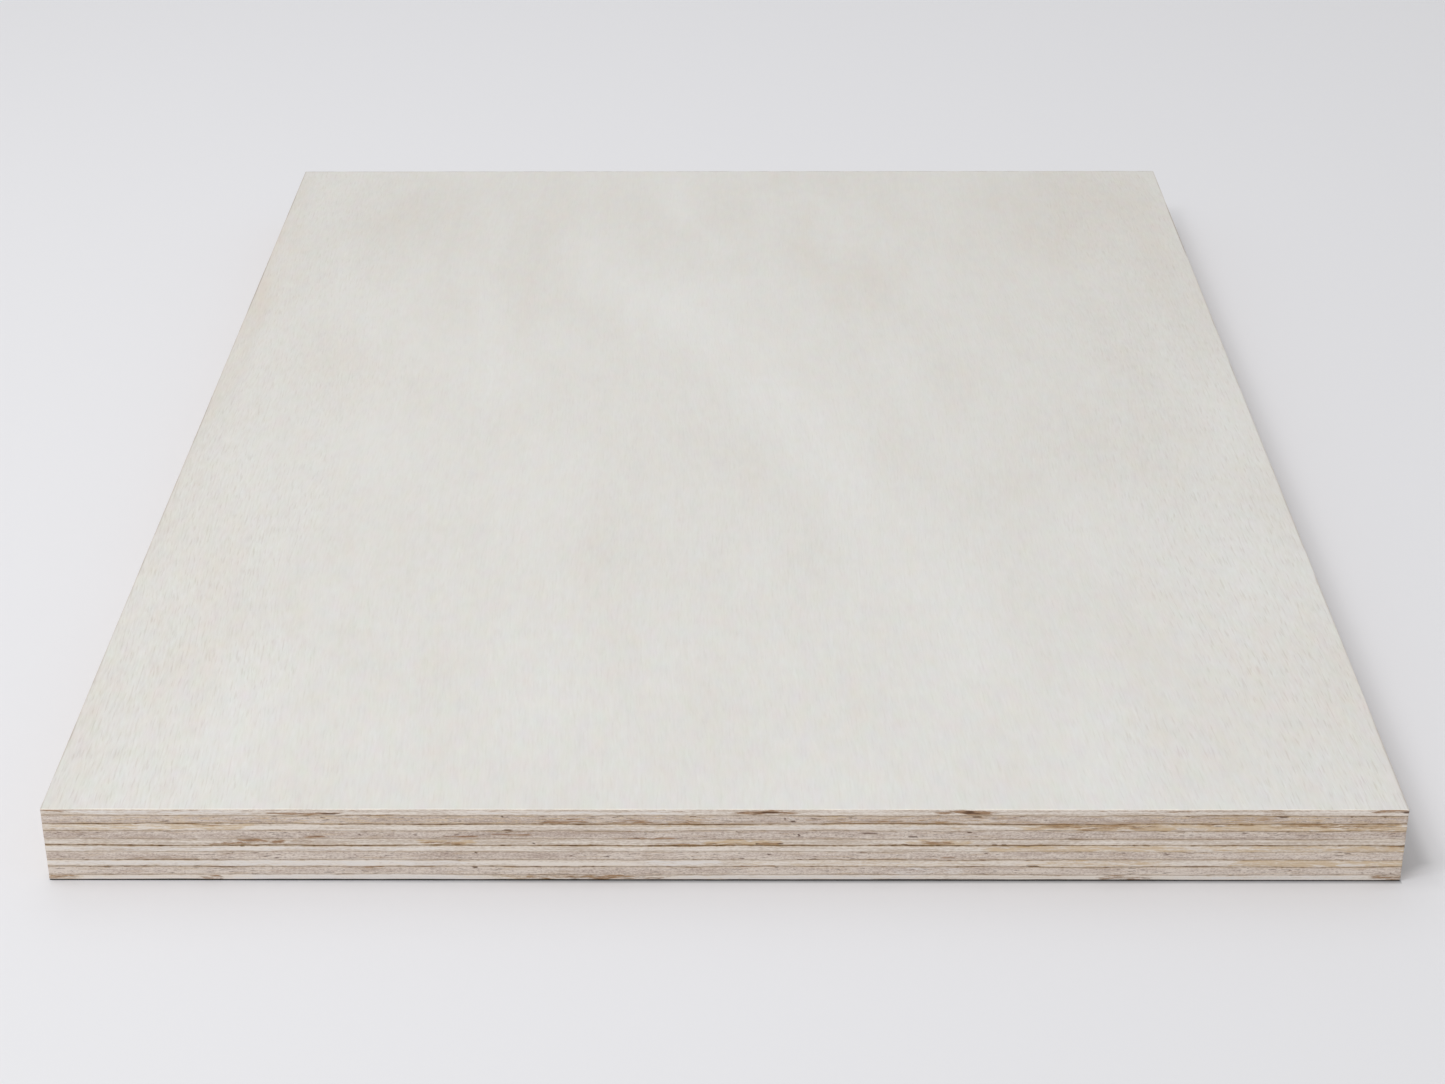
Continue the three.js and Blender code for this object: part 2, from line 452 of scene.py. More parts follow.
# Marks on the front edge, by kind: start and end along X in mm, height of the middle and half
# the height as shares of the veneer's thickness, and strength.
FRONT_MARKS = {
    "face_veneer": {
        "stain": (
            # The first three marks make a thin darker line along the top of the face veneer's edge,
            # just under the arris.
            (-148, -55, 0.83, 0.08, 0.4), (-80, 40, 0.83, 0.08, 0.4), (15, 148, 0.83, 0.08, 0.4),
            (-146, -138.5, 0.8, 0.16, 1.2), (-98, -79.5, 0.33, 0.24, 1),
            (-82, -68, 0.08, 0.14, 0.7), (1, 17, 0.5, 0.35, 1), (42.5, 60.5, 0.6, 0.4, 0.8),
            (48, 57.5, 0.45, 0.4, 1.5), (85.8, 109.5, 0.72, 0.14, 0.5),
            (113.5, 121, 0.45, 0.5, 0.45), (136.5, 146, 0.75, 0.3, 0.9),
        ),
        "pale": ((-140, -97, 0.5, 0.4, 0.6), (-60, -5, 0.45, 0.35, 0.5)),
        "split": (
            (-86.5, -80.5, 0.3, 0.1, 0.7), (5.5, 12.9, 0.5, 0.14, 0.8),
            (49.8, 55, 0.42, 0.12, 0.75), (50.6, 53.6, 0.7, 0.1, 0.8),
            (143.2, 146, 0.62, 0.2, 0.7),
        ),
    },
    "crossband_1": {
        "stain": (
            (-45, 150, 0.2, 0.5, 0.25), (-40, -27, 0.25, 0.25, 0.8), (-29, -2, 0.2, 0.2, 0.6),
            (20, 50, 0.15, 0.25, 0.6), (49, 64, 0.72, 0.1, 0.6), (60, 92, 0.05, 0.15, 0.5),
            (107, 121.5, 0.6, 0.35, 0.4),
        ),
        "split": (
            (-118.6, -117.6, 0.95, 0.06, 0.6), (-47.5, -46.8, 0.9, 0.12, 0.9),
            (12.9, 13.4, 0.65, 0.3, 0.6), (14, 15.5, 0.32, 0.08, 0.8),
            (52.2, 55.3, 0.82, 0.09, 0.9), (97.8, 98.7, 0.95, 0.1, 0.8),
            (116, 120.5, 0.95, 0.1, 0.7), (132.4, 133.4, 0.95, 0.1, 0.8),
            (139.4, 140.6, 0.92, 0.12, 0.8),
        ),
        "pale": ((13.4, 15.4, 0.6, 0.4, 0.4), (58, 92, 0.6, 0.5, 0.35)),
        "gold": ((-150, 12, 0.5, 1.5, 0.3), (10, 150, 0.5, 1.5, 0.36), (104, 124, 0.4, 0.8, 0.6)),
    },
    "long_band_1": {
        "gold": (
            (-150, -95, 0.6, 0.6, 0.5), (-119.5, -100, 0.55, 0.5, 0.8), (-28, 4, 0.65, 0.4, 0.42),
            (2, 56, 0.6, 0.9, 0.32), (61, 101, 0.6, 0.7, 1), (98, 150, 0.5, 0.9, 1),
        ),
        "stain": (
            (-118, -103, 0.78, 0.12, 0.6), (63, 95, 0.65, 0.5, 0.6), (70, 84, 0.75, 0.4, 0.35),
            (100, 114, 0.8, 0.2, 0.5), (113, 146, 0.75, 0.35, 0.65), (128, 148, 0.45, 0.6, 0.25),
        ),
        "pale": ((-30, 20, 0.35, 0.35, 0.3), (3, 50, 0.4, 0.4, 0.5)),
        "split": ((-47.6, -44.4, 0.06, 0.1, 0.8),),
    },
    "crossband_2": {
        "stain": (
            (-90.5, -83.3, 0.16, 0.2, 0.9), (-61, -50.5, 0.33, 0.13, 0.9),
            (-51, -39.5, 0.55, 0.12, 0.8), (-25, -8, 0.1, 0.1, 0.9),
            (16.5, 23.5, 0.22, 0.09, 0.9),
        ),
        "split": (
            (-78, -77, 0.5, 0.07, 0.7), (-66.5, -64.6, 0.6, 0.12, 0.6),
            (-56.5, -51.8, 0.24, 0.06, 0.8), (-20, -17, 0.1, 0.06, 0.8),
            (15.6, 16.4, 0.4, 0.1, 1), (19.5, 22.2, 0.22, 0.06, 0.7),
            (28.8, 33.2, 0.66, 0.06, 0.6), (39, 41.5, 0.3, 0.06, 0.7), (51.7, 52.6, 0.86, 0.1, 1),
            (54, 55.6, 0.58, 0.07, 0.7),
        ),
        "pale": ((-44, -36.5, 0.78, 0.08, 1),),
    },
    "centre_veneer_1": {
        "stain": (
            (-104.2, -96.3, 0.75, 0.3, 1.2), (-96.8, -93.2, 0.62, 0.4, 1),
            (-111.5, -100, 0.25, 0.3, 0.6), (-93, -87, 0.5, 0.4, 0.5),
            (-65.5, -54, 0.36, 0.28, 0.8), (-17.5, 7, 0.16, 0.2, 0.75),
            (6.5, 12.9, 0.32, 0.28, 0.75), (40.5, 49.8, 0.42, 0.3, 0.9),
        ),
        "gold": (
            (-66, -52, 0.4, 0.5, 0.8), (-5, 7, 0.45, 0.5, 1), (4.5, 12.9, 0.5, 0.45, 1.1),
            (38, 53.5, 0.45, 0.4, 0.9),
        ),
        "split": (
            (-41.1, -40, 0.38, 0.12, 0.9), (11.3, 12.8, 0.36, 0.16, 0.8),
            (6.8, 7.6, 0.3, 0.2, 0.7), (37.6, 39.6, 0.1, 0.1, 0.8), (56.9, 58.2, 0.12, 0.16, 1),
            (59, 60.6, 0.12, 0.16, 1),
        ),
    },
    "centre_veneer_2": {
        "pale": ((-150, -55, 0.5, 0.5, 0.5),),
        "split": ((-103.4, -102.2, 0.93, 0.12, 0.9),),
        "gold": ((52, 104, 0.4, 0.7, 0.8), (98, 148, 0.4, 0.7, 0.58), (130, 150, 0.4, 0.7, 0.75)),
        "stain": ((141, 146, 0.9, 0.3, 0.9),),
    },
    "crossband_3": {
        "stain": (
            (-128, -113.5, 0.15, 0.22, 0.4), (40, 46.5, 0.2, 0.08, 0.8),
            (42, 45, 0.45, 0.07, 0.7), (46, 50.5, 0.32, 0.07, 0.7),
        ),
        "split": (
            (-124, -122.4, 0.06, 0.08, 0.8), (-116, -113.8, 0.06, 0.08, 0.7),
            (-53.4, -52.4, 0.86, 0.1, 0.9), (9.3, 10.1, 0.68, 0.08, 0.8),
            (15.8, 16.8, 0.06, 0.1, 1), (18.2, 20, 0.06, 0.08, 0.8),
            (27.4, 28.2, 0.62, 0.08, 0.8), (84.4, 86.2, 0.82, 0.06, 0.7),
            (132, 134, 0.9, 0.07, 0.7),
        ),
    },
    "long_band_2": {
        "pale": (
            (-150, -48, 0.6, 0.6, 0.75), (-17.5, 0.3, 0.65, 0.5, 0.8),
            (130.5, 137.5, 0.35, 0.3, 0.8),
        ),
        "gold": ((-2, 62, 0.4, 0.5, 0.3), (60, 98, 0.45, 0.6, 0.5), (107, 150, 0.5, 0.8, 0.9)),
        "stain": ((2, 13.5, 0.08, 0.14, 0.8),),
        "split": ((64.2, 68.2, 0.12, 0.1, 0.8),),
    },
    "crossband_4": {
        "split": (
            (-136.4, -135.4, 0.95, 0.1, 0.8), (-134, -130.2, 0.95, 0.08, 0.6),
            (-128.9, -127.1, 0.95, 0.1, 0.8), (-109.5, -104, 0.93, 0.08, 0.6),
            (-66, -62, 0.96, 0.08, 0.6), (-54.2, -52.5, 0.96, 0.1, 0.8),
            (-45.2, -43.8, 0.96, 0.1, 0.7),
        ),
        "stain": ((-83, -71.5, 0.96, 0.14, 0.8),),
        "pale": ((35, 52, 0.6, 0.6, 0.5),),
    },
    "back_veneer": {
        "gold": ((-148, -137, 0.6, 0.7, 0.6), (-50, -18, 0.6, 0.6, 0.45)),
        "stain": (
            (-147, -138, 0.68, 0.45, 0.75), (-112.8, -107, 0.55, 0.5, 0.85),
            (-49, -9, 0.66, 0.45, 0.65), (-31, -16, 0.6, 0.4, 0.8), (42.7, 80.5, 0.9, 0.15, 0.3),
            (78.5, 93.2, 0.45, 0.6, 0.48), (137.5, 147, 0.65, 0.5, 0.7),
        ),
        "pale": (
            (-137, -113.5, 0.6, 0.4, 0.4), (-107, -50.2, 0.6, 1.2, 1), (-11.8, 43, 0.6, 0.9, 0.7),
            (92, 139, 0.6, 0.9, 0.6),
        ),
        "split": ((-48, -26, 0.97, 0.05, 0.5),),
    },
}
# Where each glue line shows darker along the front edge: starts and ends along X in mm.
DARK_GLUE = {
    1: ((-96, -78), (16, 34), (96, 145)),
    2: ((-144.7, -111), (-69, 7.5), (20.1, 129.1)),
    3: ((-53, -20),),
    4: ((72.2, 109.5),),
    5: ((-140, -117.5), (-111.5, -52), (-22, 8)),
    7: ((-130, -112),),
    8: ((-136, -104), (62, 109.5)),
}
DARK_GLUE_GAIN = 0.3  # how much more glue there is
DARK_GLUE_FADE = 3  # mm at either end
# The kinds of mark: how blunt their ends are, and how common they are where marks are random.
BLUNTNESS = {"gold": 4, "pale": 4, "stain": 2, "split": 2}
SHARES = (0.2, 0.2, 0.4, 0.2)
# Least and most length in mm, half height as a share of the veneer, and strength of random marks.
MARK_SIZES = {
    "gold": ((15, 60), (0.4, 0.8), (0.3, 0.65)),
    "pale": ((15, 60), (0.4, 0.8), (0.4, 0.9)),
    "stain": ((3, 18), (0.1, 0.3), (0.4, 0.9)),
    "split": ((0.8, 4), (0.06, 0.12), (0.4, 0.9)),
}
MARKS_ON_A_SIDE = 9  # on each veneer, on each edge but the front
MARK_SEED = 20
MARK_CORE = 1.8  # the more, the larger the part of a mark that has its full strength


def values_of(items, name, width=1, precision=float):
    """One number, or this many, of each of a mesh's items."""
    values = np.empty(len(items) * width, precision)
    items.foreach_get(name, values)
    return values.reshape(-1, width) if width > 1 else values


def round_the_sheet(mesh):
    """Each point's distance along the edges in mm, from the front left corner anticlockwise."""
    x, y, _ = values_of(mesh.vertices, "co", 3, np.float32).T
    right, back = x + WIDTH / 2, y + LENGTH / 2
    gaps = np.stack([back, WIDTH - right, LENGTH - back, right])
    runs = np.stack(
        [right, WIDTH + back, 2 * WIDTH + LENGTH - right, 2 * WIDTH + 2 * LENGTH - back]
    )
    return np.take_along_axis(runs, gaps.argmin(0)[None], 0)[0] / MM


def random_marks(name):
    """Marks for the edges that have none listed, in the same form as those in front."""
    draw = np.random.default_rng([MARK_SEED, LAY_UP.index(name)])
    marks = []
    begin = WIDTH / MM / 2
    for side in (LENGTH, WIDTH, LENGTH):
        end = begin + side / MM
        for _ in range(MARKS_ON_A_SIDE):
            kind = draw.choice(list(BLUNTNESS), p=SHARES)
            lengths, halves, strengths = MARK_SIZES[kind]
            start, span = draw.uniform(begin, end), draw.uniform(*lengths)
            half, middle = draw.uniform(*halves), draw.uniform(0, 1)
            marks.append((kind, start, start + span, middle, half, draw.uniform(*strengths)))
        begin = end
    return marks


def mark_edge(mesh, name):
    """Stores how much of each kind of mark there is at each point of a veneer's edge."""
    run = round_the_sheet(mesh) - WIDTH / MM / 2
    rise = values_of(mesh.attributes["rise"].data, "value", precision=np.float32)
    amounts = {kind: np.zeros_like(rise) for kind in BLUNTNESS}
    number = LAY_UP.index(name)
    sway = 0.3 * np.sin(run / 2.1 + number) + 0.2 * np.sin(run / 0.9 + 2 * number)
    front = [(kind, *mark) for kind, marks in FRONT_MARKS[name].items() for mark in marks]
    for kind, start, end, middle, half, strength in front + random_marks(name):
        lengthwise = abs(2 * run - start - end) / (end - start)
        upwards = (rise - middle) / half + sway
        shape = np.clip(MARK_CORE * (1 - lengthwise ** BLUNTNESS[kind] - upwards**2), 0, 1)
        amounts[kind] = np.maximum(amounts[kind], strength * shape)
    for kind, amount in amounts.items():
        mesh.attributes.new(kind, "FLOAT", "POINT").data.foreach_set("value", amount)

    for line, side in ((number, "glue_above"), (number + 1, "glue_below")):
        glue = mesh.attributes[side].data
        values = values_of(glue, "value", precision=np.float32)
        for start, end in DARK_GLUE.get(line, ()):
            inside = np.minimum(run - start, end - run) / DARK_GLUE_FADE
            values += DARK_GLUE_GAIN * np.clip(inside, 0, 1)
        glue.foreach_set("value", values)


# ---------------------------------------------------------------- the map for baking

# A square picture that holds a veneer laid flat, with sizes in its pixels: where the caps of a
# veneer and the strips that its edge is cut into start, and how many pixels each has to the mm.
# The caps that are out of sight in the sheet are the coarsest.
MAP_NAME = "OFBake"
MAP_SIDE = 1024
MAP_GAP = 4
INNER_MAP = {"top": (4, 4, 1.25), "bottom": (510, 4, 1.25), "strips": (4, 372, 13)}
OUTER_MAPS = {
    LAY_UP[0]: {"top": (4, 4, 2.5), "bottom": (4, 903, 0.4), "strips": (4, 733, 8)},
    LAY_UP[-1]: {"top": (4, 903, 0.4), "bottom": (4, 4, 2.5), "strips": (4, 733, 8)},
}


def lay_flat(mesh, name, columns):
    """Gives a veneer its map. No face of the edge is split between two strips."""
    plan = OUTER_MAPS.get(name, INNER_MAP)
    first = values_of(mesh.polygons, "loop_start").astype(int)
    face = np.repeat(np.arange(len(first)), values_of(mesh.polygons, "loop_total").astype(int))
    vertex = values_of(mesh.loops, "vertex_index").astype(int)
    x, y, _ = (values_of(mesh.vertices, "co", 3)[vertex] / MM).T
    rise = values_of(mesh.attributes["rise"].data, "value")[vertex]
    column = values_of(mesh.attributes["column"].data, "value")[vertex].round()

    left, right = np.minimum.reduceat(column, first), np.maximum.reduceat(column, first)
    own = np.where(right - left > 1, right, left)[face]  # the last column ends at column 0
    low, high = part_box(name)
    start, base, scale = plan["strips"]
    pitch = 2 * (WIDTH + LENGTH) / MM / columns * scale
    height = (high.z - low.z) / MM * scale
    in_strip = (MAP_SIDE - start - MAP_GAP) // pitch
    edge_u = start + (own % in_strip + (column != own)) * pitch
    edge_v = base + own // in_strip * (height + MAP_GAP) + rise * height

    up = values_of(mesh.polygons, "normal", 3)[face, 2] > 0
    start, base, scale = np.where(up, np.array([plan["top"]]).T, np.array([plan["bottom"]]).T)
    cap_u = start + (LENGTH / MM / 2 + y) * scale
    cap_v = base + (WIDTH / MM / 2 + np.where(up, -x, x)) * scale

    on_edge = values_of(mesh.polygons, "use_smooth")[face] > 0
    places = np.stack([np.where(on_edge, edge_u, cap_u), np.where(on_edge, edge_v, cap_v)], 1)
    mesh.uv_layers.new(name=MAP_NAME).uv.foreach_set("vector", (places / MAP_SIDE).ravel())
    mesh.attributes.remove(mesh.attributes["column"])


# ---------------------------------------------------------------- finishes


def finish_graph(name, unit=MM):
    """A new material's graph, and the place in the sheet that it colours, in mm or another unit."""
    material = bpy.data.materials.new(name)
    material.use_nodes = True
    material.node_tree.nodes.clear()
    g = Graph(material.node_tree)
    spot = g.add("ShaderNodeTexCoord").out("Object")
    axes = g.add("ShaderNodeSeparateXYZ", {}, {"Vector": spot})
    return material, g, [axes.out(axis) / unit for axis in "XYZ"]


def close_graph(g, base, roughness, height, depth):
    """Ends a material in a wood surface with these colours, roughness and fine relief."""
    bump = g.add("ShaderNodeBump", {}, {"Strength": 1.0, "Distance": depth, "Height": height})
    surface = g.add(
        "ShaderNodeBsdfPrincipled",
        {},
        {"Base Color": base, "Roughness": roughness, "Normal": bump, "Specular IOR Level": 0.3},
    )
    g.add("ShaderNodeOutputMaterial", {}, {"Surface": surface})


# The figure of the face, by tint: middle X and Y, half width, half length and lean in degrees
# off the grain, and strength. Sizes are in mm.
FACE_FIGURE = {
    "pale": (
        (-42, 125, 22, 60, 12, 0.5), (-8, 72, 30, 62, 30, 1.0), (16, 20, 26, 66, 14, 1.0),
        (30, -36, 24, 70, 12, 0.9), (48, -92, 26, 66, 20, 0.9), (68, -150, 28, 70, 14, 0.8),
        (-126, 20, 14, 90, 3, 0.4), (-82, 130, 16, 50, 10, 0.2), (-66, 40, 14, 80, 8, 0.4),
        (-46, -70, 18, 90, 12, 0.7), (-15, 172, 9, 40, 6, 0.8), (-6, 142, 5, 36, 26, 0.6),
        (72, 160, 16, 40, 24, 0.5), (96, -58, 14, 50, 4, 0.5), (-106, -178, 40, 70, 0, 0.9),
        (-40, -160, 60, 80, 10, 0.6), (20, -150, 60, 80, 0, 0.7), (120, -110, 60, 110, 0, 0.9),
        (136, 0, 24, 70, 0, 0.8), (80, -205, 120, 75, 0, 1.1),
    ),
    "deep": (
        (118, 160, 60, 110, 8, 1.2), (40, 190, 120, 60, 0, 0.4), (34, 112, 34, 70, 16, 0.6),
        (110, 40, 60, 130, 0, 0.5), (-110, 160, 70, 90, 0, 0.9), (-104, 40, 14, 50, 6, 0.4),
        (-130, 10, 30, 120, 4, 0.7), (-146, 110, 16, 130, 0, 1.8), (-146, -60, 16, 150, 0, 0.9),
        (-60, 130, 80, 90, 0, 0.35),
    ),
    "warm": (
        (118, 150, 50, 90, 6, 0.6), (36, 110, 28, 60, 14, 0.5), (-146, 110, 16, 130, 0, 2.0),
        (-146, -60, 16, 150, 0, 0.8), (-100, 30, 20, 60, 8, 0.4), (120, -150, 60, 80, 0, 0.5),
        (-124, -110, 18, 90, 0, 0.6),
    ),
}
GRAIN_LEAN = 0.03  # how far the face's grain strays towards +X for each step towards the front


def figure(g, x, y, tint):
    """How much of one tint the face's figure has at a place."""
    total = 0.0
    for middle_x, middle_y, half_width, half_length, lean, strength in FACE_FIGURE[tint]:
        turned = g.add(
            "ShaderNodeMapping",
            {"vector_type": "TEXTURE"},
            {
                "Vector": g.place(x, y),
                "Location": (middle_x, middle_y, 0),
                "Rotation": (0, 0, radians(lean)),
                "Scale": (half_width, half_length, 1),
            },
        )
        spot = g.add("ShaderNodeTexGradient", {"gradient_type": "SPHERICAL"}, {"Vector": turned})
        total = total + g.step(spot.out("Fac"), 0.0, 1.0) * strength
    return total


def attribute(g, name):
    return g.add("ShaderNodeAttribute", {"attribute_name": name}).out("Fac")


def sanded_finish(colours, name, seed):
    """A sanded face: soft figure along the grain, with fine streaks and pores in it."""
    material, g, (x, y, _) = finish_graph(name)
    drift = g.flat_noise(x / 90 + seed, y / 160, 0.0) - 0.5
    across = x + y * GRAIN_LEAN + drift * 9

    def grain(width_mm, length_mm, offset, detail=2.0):
        return g.flat_noise(across / width_mm + offset, y / length_mm + seed, detail)

    cloud = grain(22, 60, 3, 3.0) - 0.5
    band = grain(4.5, 50, 40) - 0.5
    streak = grain(1.4, 9, 80) - 0.5
    fibre = grain(0.6, 4.5, 120, 1.0) - 0.5
    pores = g.step(grain(0.5, 6, 400, 1.0), 0.58, 0.78)
    woolly = g.step(abs(x) + 90 * (g.flat_noise(x / 26 + seed, y / 40 + 9) - 0.5), 75, 140)
    crisp = 1 - 0.35 * g.step(y, -150.0, 150.0)

    soft_x = x + drift * 20 + band * 8
    tone = figure(g, soft_x, y, "pale") * 0.24 - figure(g, soft_x, y, "deep") * 0.24
    fine = streak * 0.4 + fibre * (0.45 + 0.45 * woolly)
    tone = tone + cloud * 0.48 + band * 0.16 + fine * crisp
    blush = grain(8, 24, 60) - 0.5
    warmth = figure(g, soft_x, y, "warm") * 0.35 + blush * 0.6 - cloud * 0.4 + streak * 0.2
    base = g.blend(g.between(tone, 0, 1), colours.face, colours.face_pale)
    base = g.blend(g.between(tone * -1, 0, 1), base, colours.face_deep)
    base = g.blend(g.between(warmth, 0, 1) * 0.6, base, colours.face_warm)
    base = g.blend(pores * (0.05 + 0.16 * woolly) * crisp, base, colours.pore)
    flecks = g.flat_noise(across / 4 + seed, y / 8, 4.0).out("Color")
    base = g.blend(0.13 - 0.04 * g.step(y, -190.0, -40.0), base, flecks, "SOFT_LIGHT")

    # The arrises: a broken painted highlight along the front, on wood sanded clean, and grey lines
    # elsewhere that are partly dirt and partly painted shade, darker towards the back.
    patchy = g.step(g.flat_noise(x / 9 + seed, y / 40), 0.4, 0.6)
    from_front = y + LENGTH / MM / 2
    # Painted highlight: the front arris is lightened as though it caught the light.
    front_highlight = (1 - g.step(from_front, 0.2, 0.6)) * (0.3 + 0.7 * patchy)
    # Partly dirt and partly painted shade at the side and back arrises, stronger towards the back.
    nearest = g.maths("MINIMUM", WIDTH / MM / 2 - abs(x), LENGTH / MM / 2 - y)
    dirt_and_shade = (1 - g.step(nearest, 0.15, 0.6)) * (0.2 + 0.8 * patchy)
    dirt_and_shade = dirt_and_shade * (0.5 + 0.4 * g.step(y, -80.0, 120.0))
    base = g.blend(front_highlight * 0.8, base, colours.arris_highlight)
    base = g.blend(dirt_and_shade, base, colours.arris_dirt_and_shade)
    close_graph(g, base, 0.6 + 0.2 * fibre, fibre - pores * 0.4, 0.03 * MM)
    return material


def peeled_finish(colours, name, across):
    """The faces of an inner veneer, which the glue hides: plain wood with straight grain."""
    material, g, (x, y, _) = finish_graph(name)
    over, along = (y, x) if across else (x, y)
    band = g.flat_noise(over / 9, along / 120)
    streak = g.flat_noise(over / 2.5, along / 25)
    base = g.blend(g.step(band, 0.3, 0.7), colours.side_light, colours.end_light)
    base = g.blend(g.step(streak, 0.45, 0.75) * 0.4, base, colours.end_dark)
    close_graph(g, base, 0.75, streak, 0.05 * MM)
    return material


def edge_finish(colours, name, seed):
    """A sawn edge: cut across or along the fibres, with marks and glue lines."""
    material, g, (x, y, z) = finish_graph(name)
    run = x + y  # goes on round the corners of the sheet
    wavy = z + (g.flat_noise(run / 2.6 + seed, z / 1.2) - 0.5) * 0.5

    def grain(length_mm, height_mm, offset, up=z, detail=2.0):
        return g.flat_noise(run / length_mm + seed, up / height_mm + 133 * offset, detail)

    tone = attribute(g, "tone") + (grain(45, 3, 14) - 0.5) * 0.8

    # Cut across the fibres: long faint layers, with few pores.
    cloudy = grain(14, 1.4, 1) - 0.5
    layers = grain(24, 0.36, 2, wavy) - 0.5
    pith = grain(1.1, 0.26, 3) - 0.5
    brown = g.step(grain(18, 0.26, 4, wavy), 0.6, 0.75)
    share = 0.5 + tone + layers * 1.7 + cloudy * 1.2 + pith * 1.7
    end = g.blend(g.between(share, 0, 1), colours.end_dark, colours.end_light)
    end = g.blend(brown * 0.3, end, colours.soak)

    # Cut along the fibres: sandy, with torn pits, long soft streaks and dark splits.
    sand = grain(0.6, 0.26, 5, wavy) - 0.5
    fibre = grain(2.8, 0.32, 6, wavy) - 0.5
    share = 0.5 + tone + sand * 1.5 + fibre * 1.3 + cloudy * 1.2
    side = g.blend(g.between(share, 0, 1), colours.side_dark, colours.side_light)
    specks = g.step(grain(0.8, 0.24, 7, wavy), 0.6, 0.72)
    pits = g.step(grain(0.9, 0.26, 8, wavy), 0.64, 0.74)
    streaks = g.step(grain(10, 0.3, 9), 0.58, 0.72)
    splits = g.step(grain(2.6, 0.28, 10), 0.62, 0.7) * g.step(grain(15, 2.5, 11), 0.42, 0.6)
    side = g.blend(streaks * 0.3, side, colours.soak)
    side = g.blend(specks * 0.35, side, colours.end_light)
    side = g.blend(pits * 0.5, side, colours.pit)
    side = g.blend(splits * 0.7, side, colours.dash)
    base = g.blend(attribute(g, "end_grain"), side, end)

    ragged = (grain(6, 0.24, 12, wavy) - 0.5) * 2.4 + fibre * 1.0 + sand * 0.6
    for kind, top in (("gold", 0.7), ("pale", 0.85), ("stain", 0.9)):
        amount = attribute(g, kind)
        share = g.step(amount + ragged * g.step(amount, 0.0, 0.3), 0.1, 1.1)
        base = g.blend(share * top, base, getattr(colours, kind))
    cracks = g.step(grain(3, 0.16, 15, wavy), 0.54, 0.7) * g.step(attribute(g, "stain"), 0.1, 0.6)
    base = g.blend(cracks * 0.6, base, colours.dash)
    base = g.blend(g.step(attribute(g, "split"), 0.1, 0.7) * 0.9, base, colours.dash)

    lines, soaked = 0.0, 0.0
    thick = 0.6 + 0.8 * grain(2.5, 0.6, 13)
    for side_name in ("below", "above"):
        amount = attribute(g, "glue_" + side_name)
        gap = attribute(g, "from_" + side_name)
        half = (0.05 + 0.08 * amount) * thick
        near = (1 - g.step(gap / half, 0.35, 1.5)) * g.between(0.3 + 0.6 * amount, 0, 1)
        lines = g.maths("MAXIMUM", lines, near)
        soaked = g.maths("MAXIMUM", soaked, (1 - g.step(gap, 0.0, 0.55)) * amount)
    base = g.blend(g.between(soaked * (0.4 + sand), 0, 0.8), base, colours.soak)
    gummed = g.step(grain(2.2, 0.8, 16), 0.54, 0.68)
    base = g.blend(lines * (0.8 + 0.2 * gummed), base, colours.glue)
    base = g.blend(g.step(lines, 0.4, 1.0) * (0.2 + 0.5 * gummed), base, colours.dash)
    # Painted shadow: a dark band along the foot of the sheet's edge, below about 0.4 mm, lower
    # towards the right end.
    foot_shadow_mask = 1 - g.step(z + cloudy * 0.25 + 0.1 * g.step(x, 85.0, 110.0), 0.32, 0.46)
    base = g.blend(foot_shadow_mask * 0.97, base, colours.painted_foot_shadow)
    close_graph(g, base, 0.75 + 0.2 * pith, sand - lines, 0.05 * MM)
    return material


# ---------------------------------------------------------------- making the pieces

LONG_EDGE_SEED, CROSS_EDGE_SEED = 400, 700
SEED_STEP = 10.0  # between one veneer and the next


def saw_veneer(context, name, face_finish, edge):
    """Makes the piece that stands for one veneer of the model."""
    scene = context.scene
    shape = scene.plywood_shape
    tree = bpy.data.node_groups.get("Sawn veneer") or veneer_tree()
    number = LAY_UP.index(name)
    glue = (0, *GLUE_LINES, 0)
    low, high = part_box(name)
    inputs = {
        "Width": WIDTH,
        "Length": LENGTH,
        "Bottom": low.z,
        "Top": high.z,
        "Columns Across": round(WIDTH / shape.column),
        "Columns Along": round(LENGTH / shape.column),
        "Rows": shape.rows + (name in OUTER_VENEERS) * shape.extra_rows,
        "Grain Across": float(name in CROSSBANDS),
        "Tone": TONES[number],
        "Uneven": shape.uneven,
        "End Fuzz": shape.end_fuzz,
        "Side Fuzz": shape.side_fuzz,
        "Corner": shape.corner,
        "Seed": SEED_STEP * number,
        "Face Finish": face_finish,
        "Edge Finish": edge,
    }
    arrises = {
        0: (shape.arris, shape.arris_reach),
        len(LAY_UP): (shape.back_arris, shape.back_reach),
    }
    for side, line in (("Above", number), ("Below", number + 1)):
        glued = line not in arrises
        height, reach = (0.0, 0.0) if glued else arrises[line]
        inputs["Line " + side] = line
        inputs["Wander " + side] = shape.wander * glued
        inputs["Groove " + side] = shape.groove * glued
        inputs["Arris " + side] = height
        inputs["Reach " + side] = reach
        inputs["Glue " + side] = float(glue[line])

    piece = bpy.data.objects.new("sawn_" + name, bpy.data.meshes.new(name))
    scene.collection.objects.link(piece)
    saw = piece.modifiers.new("Saw", "NODES")
    saw.node_group = tree
    for item in tree.interface.items_tree:
        if item.in_out == "INPUT":
            saw[item.identifier] = inputs[item.name]
    context.view_layer.update()
    depsgraph = context.evaluated_depsgraph_get()
    mesh = bpy.data.meshes.new_from_object(
        piece.evaluated_get(depsgraph), preserve_all_data_layers=True, depsgraph=depsgraph
    )
    piece.modifiers.remove(saw)
    piece.data = mesh
    mark_edge(mesh, name)
    lay_flat(mesh, name, 2 * (inputs["Columns Across"] + inputs["Columns Along"]))
    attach(piece, "root")
    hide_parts(name)
    return piece


